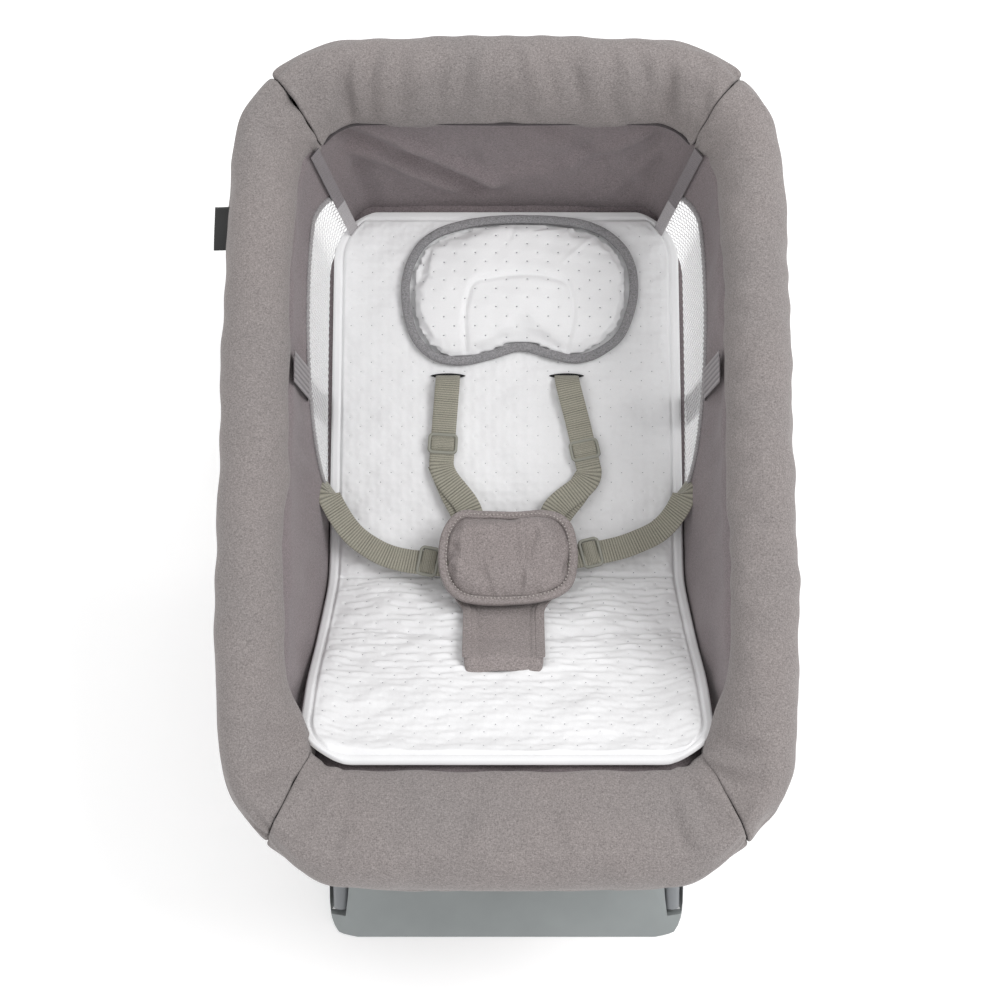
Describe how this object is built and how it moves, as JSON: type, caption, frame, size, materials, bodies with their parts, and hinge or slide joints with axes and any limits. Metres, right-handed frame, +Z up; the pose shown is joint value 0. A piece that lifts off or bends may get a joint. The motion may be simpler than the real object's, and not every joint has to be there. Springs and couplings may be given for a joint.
{
  "type": "bouncer seat",
  "caption": "Baby bouncer seat: a padded rim and deep fabric basket with quilted liner and harness, sprung and reclining on a folding A-frame stand.",
  "frame": {"origin": "on the floor, below the middle of the whole object", "axes": "+Z up, +Y towards the head end of the seat, +X to the right of someone standing at the foot end and facing the head end"},
  "size_m": [0.532, 0.7662, 0.5576],
  "materials": {
    "housing": "satin",
    "tube": "satin",
    "steel": "satin",
    "rubber": "matte",
    "melange": "matte",
    "lining": "matte",
    "quilt": "matte",
    "net": "matte",
    "board": "matte",
    "webbing": "matte",
    "clip": "satin",
    "button": "satin"
  },
  "bodies": {
    "front_leg": {"front_leg_tube_left": "tube", "front_leg_tube_right": "tube", "front_foot_cover": "housing", "front_foot_plate": "housing", "front_foot_pad_left": "rubber", "front_foot_pad_right": "rubber", "hub_outer_left": "housing", "hub_outer_right": "housing", "hub_axle_left": "steel", "hub_axle_right": "steel"},
    "rear_leg": {"rear_leg_tube_left": "tube", "rear_leg_tube_right": "tube", "rear_foot_cover": "housing", "rear_foot_plate": "housing", "rear_foot_pad_left": "rubber", "rear_foot_pad_right": "rubber", "hub_middle_left": "housing", "hub_middle_right": "housing"},
    "carrier": {"ratchet_disc_left": "steel", "ratchet_disc_right": "steel", "bounce_spring_left": "steel", "bounce_spring_right": "steel"},
    "seat": {"rim_tube_head": "tube", "rim_tube_foot": "tube", "rim_pad_head": "melange", "rim_pad_foot": "melange", "rim_pad_left": "melange", "rim_pad_right": "melange", "head_wall": "lining", "side_wall_left": "lining", "side_wall_right": "lining", "mesh_window_left": "net", "mesh_window_right": "net", "basket_floor_back": "lining", "basket_floor_seat": "lining", "backrest_board": "board", "liner_back": "quilt", "liner_seat": "quilt", "head_pillow": "quilt", "shoulder_strap_left": "webbing", "shoulder_strap_right": "webbing", "waist_strap_left": "webbing", "waist_strap_right": "webbing", "crotch_strap": "melange", "buckle_cover": "melange", "buckle_tongue_left": "clip", "buckle_tongue_right": "clip", "buckle_body": "clip", "seat_bracket_left": "housing", "seat_bracket_right": "housing"},
    "shoulder_adjuster_left": {"shoulder_adjuster_left": "clip"},
    "waist_adjuster_left": {"waist_adjuster_left": "clip"},
    "recline_button_left": {"recline_button_left": "button"},
    "fold_latch_left": {"fold_latch_left": "button"},
    "shoulder_adjuster_right": {"shoulder_adjuster_right": "clip"},
    "waist_adjuster_right": {"waist_adjuster_right": "clip"},
    "recline_button_right": {"recline_button_right": "button"},
    "fold_latch_right": {"fold_latch_right": "button"},
    "buckle_button": {"buckle_button": "button"}
  },
  "joints": [
    {"name": "rear_leg_fold", "type": "hinge", "parent": "front_leg", "child": "rear_leg", "pos_m": [0, 0.04212, 0.33529], "axis": [-1, 0, 0], "range_deg": [0, 62]},
    {"name": "bounce", "type": "hinge", "parent": "front_leg", "child": "carrier", "pos_m": [0, 0.04212, 0.33529], "axis": [1, 0, 0], "range_deg": [-4, 4], "stiffness_Nm_per_rad": 90},
    {"name": "recline", "type": "hinge", "parent": "carrier", "child": "seat", "pos_m": [0, 0.04212, 0.33529], "axis": [1, 0, 0], "range_deg": [-12, 10]},
    {"name": "recline_button_left_press", "type": "slide", "parent": "front_leg", "child": "recline_button_left", "axis": [1, 0, 0], "range_m": [0, 0.004], "stiffness_N_per_m": 400},
    {"name": "recline_button_right_press", "type": "slide", "parent": "front_leg", "child": "recline_button_right", "axis": [-1, 0, 0], "range_m": [0, 0.004], "stiffness_N_per_m": 400},
    {"name": "fold_latch_left_slide", "type": "slide", "parent": "rear_leg", "child": "fold_latch_left", "axis": [0, 0.6691, -0.7431], "range_m": [0, 0.01], "stiffness_N_per_m": 300},
    {"name": "fold_latch_right_slide", "type": "slide", "parent": "rear_leg", "child": "fold_latch_right", "axis": [0, 0.6691, -0.7431], "range_m": [0, 0.01], "stiffness_N_per_m": 300},
    {"name": "shoulder_adjuster_left_slide", "type": "slide", "parent": "seat", "child": "shoulder_adjuster_left", "axis": [0.0637, 0.955, 0.2896], "range_m": [-0.006, 0.04]},
    {"name": "shoulder_adjuster_right_slide", "type": "slide", "parent": "seat", "child": "shoulder_adjuster_right", "axis": [-0.2107, 0.9347, 0.2864], "range_m": [-0.006, 0.04]},
    {"name": "waist_adjuster_left_slide", "type": "slide", "parent": "seat", "child": "waist_adjuster_left", "axis": [-0.9768, 0.2139, -0.0058], "range_m": [-0.004, 0.026]},
    {"name": "waist_adjuster_right_slide", "type": "slide", "parent": "seat", "child": "waist_adjuster_right", "axis": [0.9661, 0.2582, 0.0025], "range_m": [-0.004, 0.026]},
    {"name": "buckle_button_press", "type": "slide", "parent": "seat", "child": "buckle_button", "axis": [0, 0.1219, -0.9925], "range_m": [0, 0.003], "stiffness_N_per_m": 500}
  ]
}
